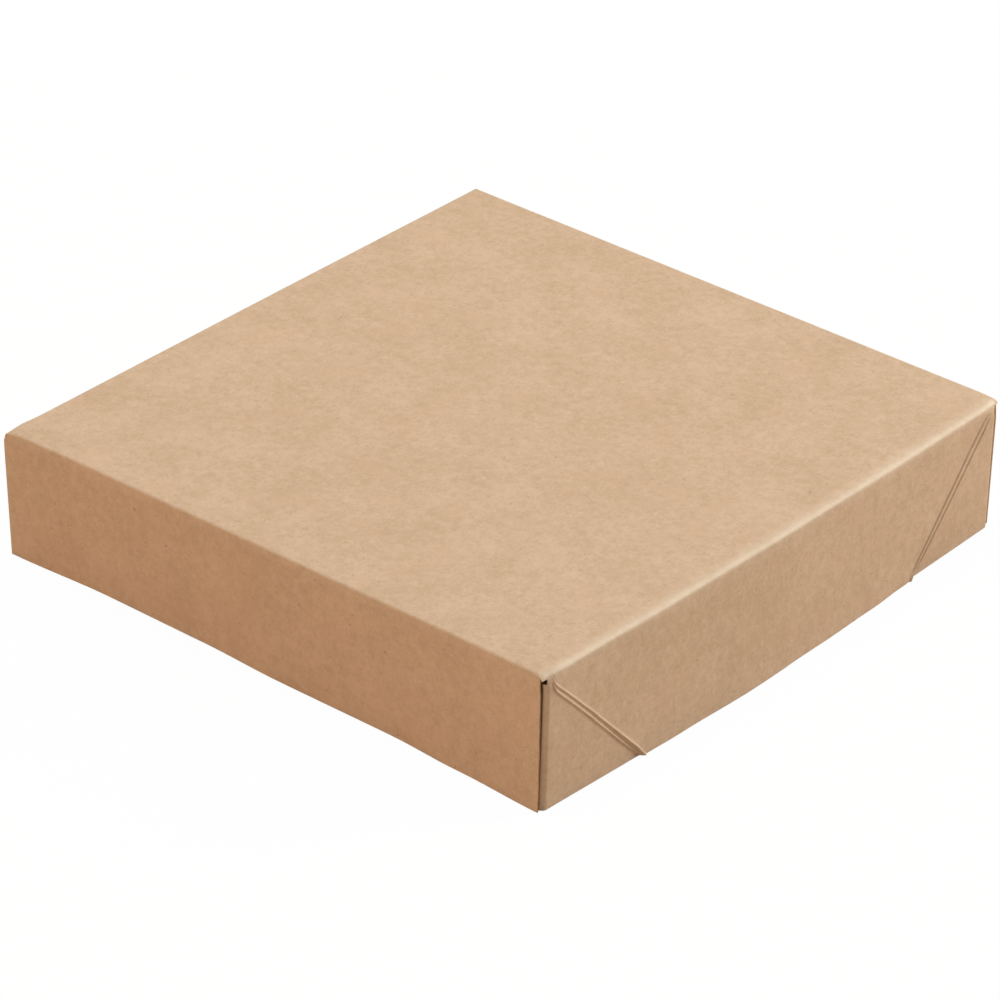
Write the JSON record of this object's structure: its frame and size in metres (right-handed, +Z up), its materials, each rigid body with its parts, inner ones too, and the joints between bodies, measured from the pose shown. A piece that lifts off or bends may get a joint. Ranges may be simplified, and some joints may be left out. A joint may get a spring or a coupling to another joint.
{
  "type": "lidded cardboard box",
  "caption": "Shallow square kraft board box with a full-depth lift-off lid; lid and tray are folded blanks with glued corners and diagonal fold-flat creases.",
  "frame": {"origin": "on the table under the middle of the shut box", "axes": "+Z up, plain walls at -Y and +Y, creased walls at -X and +X"},
  "size_m": [0.1956, 0.19, 0.04],
  "materials": {
    "kraft_board": "matt uncoated brown kraft board"
  },
  "bodies": {
    "tray": {"tray": "kraft_board"},
    "lid": {"lid": "kraft_board"}
  },
  "joints": [
    {"name": "lid_lift", "type": "slide", "parent": "tray", "child": "lid", "axis": [0, 0, 1], "range_m": [0, 0.06]}
  ]
}
